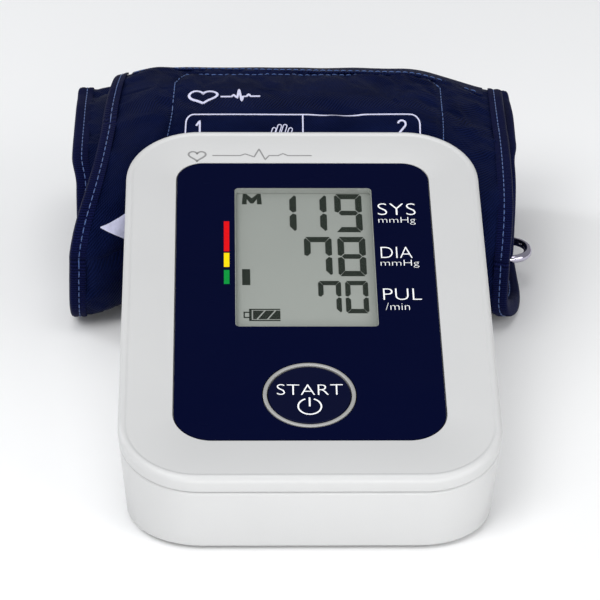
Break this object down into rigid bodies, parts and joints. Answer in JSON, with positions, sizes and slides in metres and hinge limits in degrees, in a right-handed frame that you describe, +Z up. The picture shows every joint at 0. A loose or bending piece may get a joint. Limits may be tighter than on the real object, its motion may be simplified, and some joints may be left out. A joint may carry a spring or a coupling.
{
  "type": "blood pressure cuff",
  "caption": "Rolled fabric arm cuff with a steel end ring, behind its wedge-shaped automatic monitor with a sloping display panel and a start button.",
  "frame": {"origin": "middle of the whole set's footprint, on the table", "axes": "+Z up; +Y away from the user, from the monitor's front edge towards the cuff behind it; +X to the user's right"},
  "size_m": [0.145, 0.2286, 0.0592],
  "materials": {
    "white_case": "fine moulded satin",
    "navy_panel": "smooth printed film",
    "clear_lens": "clear acrylic",
    "lcd_glass": "reflective liquid crystal",
    "silver_trim": "silver coated",
    "black_plastic": "moulded",
    "green_board": "solder mask",
    "steel": "plated",
    "contact_brass": "plated strip",
    "ring_chrome": "bright plated wire",
    "grey_rubber": "matt",
    "silicone_tube": "translucent silicone",
    "cell_jacket": "printed shrink film",
    "navy_nylon": "fine twill nylon",
    "navy_lining": "brushed knit",
    "bladder_film": "polyurethane film",
    "hook_and_loop": "hook and loop tape"
  },
  "bodies": {
    "monitor": {"air_manifold": "black_plastic", "air_socket": "black_plastic", "battery_1": "cell_jacket", "battery_2": "cell_jacket", "battery_3": "cell_jacket", "battery_4": "cell_jacket", "button_ring": "silver_trim", "button_spring": "steel", "button_switch": "black_plastic", "buzzer": "black_plastic", "case_screw_1": "steel", "case_screw_2": "steel", "case_screw_3": "steel", "case_screw_4": "steel", "contact_plate_1": "contact_brass", "contact_plate_2": "contact_brass", "contact_plate_3": "contact_brass", "contact_plate_4": "contact_brass", "contact_spring_1": "steel", "contact_spring_2": "steel", "contact_spring_3": "steel", "contact_spring_4": "steel", "controller_chip": "black_plastic", "display_lens": "clear_lens", "exhaust_valve": "steel", "foot_1": "grey_rubber", "foot_2": "grey_rubber", "foot_3": "grey_rubber", "foot_4": "grey_rubber", "front_panel": "navy_panel", "lcd_holder": "black_plastic", "lcd_module": "lcd_glass", "lower_case": "white_case", "main_board": "green_board", "power_jack": "black_plastic", "pressure_sensor": "black_plastic", "pump_head": "black_plastic", "pump_motor": "steel", "pump_tube": "silicone_tube", "sensor_tube": "silicone_tube", "socket_tube": "silicone_tube", "upper_case": "white_case", "valve_tube": "silicone_tube"},
    "start_button": {"start_button": "navy_panel"},
    "battery_cover": {"battery_cover": "white_case"},
    "cuff": {"cuff_outer_fabric": "navy_nylon", "cuff_lining": "navy_lining", "cuff_bladder": "bladder_film", "edge_binding_left": "navy_nylon", "edge_binding_right": "navy_nylon", "hook_patch": "hook_and_loop", "loop_patch": "hook_and_loop", "ring_loop": "navy_nylon", "hose_inlet": "grey_rubber"},
    "cuff_ring": {"cuff_ring": "ring_chrome"}
  },
  "joints": [
    {"name": "button_press", "type": "slide", "parent": "monitor", "child": "start_button", "axis": [0, 0.2419, -0.9703], "range_m": [0, 0.0006], "stiffness_N_per_m": 1200},
    {"name": "cover_slide", "type": "slide", "parent": "monitor", "child": "battery_cover", "axis": [0, 0, -1], "range_m": [0, 0.02]},
    {"name": "cuff_slide", "type": "slide", "parent": "monitor", "child": "cuff", "axis": [0, 1, 0], "range_m": [0, 0.06]},
    {"name": "ring_turn", "type": "hinge", "parent": "cuff", "child": "cuff_ring", "pos_m": [0.0007, 0.04047, 0.01122], "axis": [1, 0, 0], "range_deg": [-20, 41]}
  ]
}
